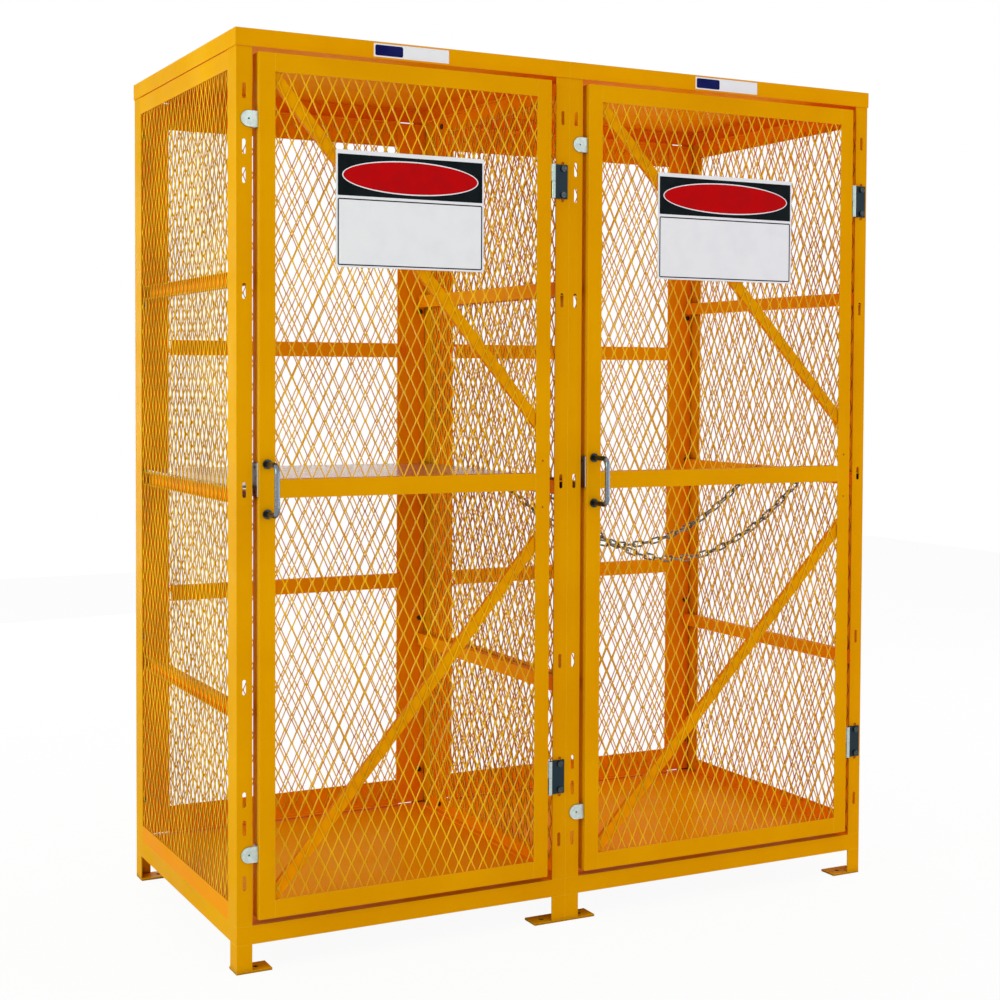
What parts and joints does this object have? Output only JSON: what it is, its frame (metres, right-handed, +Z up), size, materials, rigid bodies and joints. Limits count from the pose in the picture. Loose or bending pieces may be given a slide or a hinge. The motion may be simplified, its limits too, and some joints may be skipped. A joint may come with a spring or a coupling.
{
  "type": "gas cylinder cage",
  "caption": "Lockable storage cage for gas cylinders: two yellow cabinets of folded sheet and expanded mesh side by side, each with a hinged mesh door.",
  "frame": {"origin": "on the floor under the middle of the whole cage's box, handles and bolt heads included", "axes": "+Z up, -Y out of the doors, +X to the right seen from the front"},
  "size_m": [1.674, 0.882, 2],
  "materials": {
    "frame_coat": "semi-gloss yellow powder coat",
    "mesh_coat": "semi-gloss yellow powder coat on expanded metal",
    "plate_coat": "plain white plate with a dark blue field",
    "sign_coat": "flat white plate with black and red fields",
    "hinge_steel": "dark zinc plated",
    "handle_steel": "dark zinc plated",
    "zinc_plate": "bright zinc plated",
    "zinc_bolt": "bright zinc plated",
    "shelf_zinc": "galvanised sheet",
    "chain_zinc": "bright zinc plated"
  },
  "bodies": {
    "root": {"left_base_rails": "frame_coat", "left_legs": "frame_coat", "left_foot_plates": "frame_coat", "left_floor_tray": "frame_coat", "left_posts": "frame_coat", "left_roof": "frame_coat", "left_roof_plate": "plate_coat", "left_side_edge_rails": "frame_coat", "left_side_rails": "frame_coat", "left_outer_mesh": "mesh_coat", "left_inner_mesh": "mesh_coat", "left_back_stiles": "frame_coat", "left_back_rails": "frame_coat", "left_back_mesh": "mesh_coat", "left_hinge_post_leaves": "hinge_steel", "left_hinge_bolts": "zinc_bolt", "left_panel_bolts": "zinc_bolt", "right_base_rails": "frame_coat", "right_legs": "frame_coat", "right_foot_plates": "frame_coat", "right_floor_tray": "frame_coat", "right_posts": "frame_coat", "right_roof": "frame_coat", "right_roof_plate": "plate_coat", "right_side_edge_rails": "frame_coat", "right_side_rails": "frame_coat", "right_outer_mesh": "mesh_coat", "right_inner_mesh": "mesh_coat", "right_back_stiles": "frame_coat", "right_back_rails": "frame_coat", "right_back_mesh": "mesh_coat", "right_hinge_post_leaves": "hinge_steel", "right_hinge_bolts": "zinc_bolt", "right_panel_bolts": "zinc_bolt", "left_shelf": "shelf_zinc", "right_chain_front": "chain_zinc", "right_chain_back": "chain_zinc", "right_chain_eyes": "chain_zinc", "joining_bolts": "zinc_bolt"},
    "left_door": {"left_door_stiles": "frame_coat", "left_door_rails": "frame_coat", "left_door_braces": "frame_coat", "left_door_mesh": "mesh_coat", "left_door_stops": "zinc_plate", "left_handle": "handle_steel", "left_handle_bolts": "zinc_bolt", "left_hinge_door_leaves": "hinge_steel", "left_latch_plate": "zinc_plate", "left_sign": "sign_coat"},
    "right_door": {"right_door_stiles": "frame_coat", "right_door_rails": "frame_coat", "right_door_braces": "frame_coat", "right_door_mesh": "mesh_coat", "right_door_stops": "zinc_plate", "right_handle": "handle_steel", "right_handle_bolts": "zinc_bolt", "right_hinge_door_leaves": "hinge_steel", "right_latch_plate": "zinc_plate", "right_sign": "sign_coat"}
  },
  "joints": [
    {"name": "left_door_hinge", "type": "hinge", "parent": "root", "child": "left_door", "pos_m": [-0.08, -0.369, 1.0335], "axis": [0, 0, 1], "range_deg": [0, 140]},
    {"name": "right_door_hinge", "type": "hinge", "parent": "root", "child": "right_door", "pos_m": [0.79, -0.369, 1.0335], "axis": [0, 0, 1], "range_deg": [0, 160]}
  ]
}
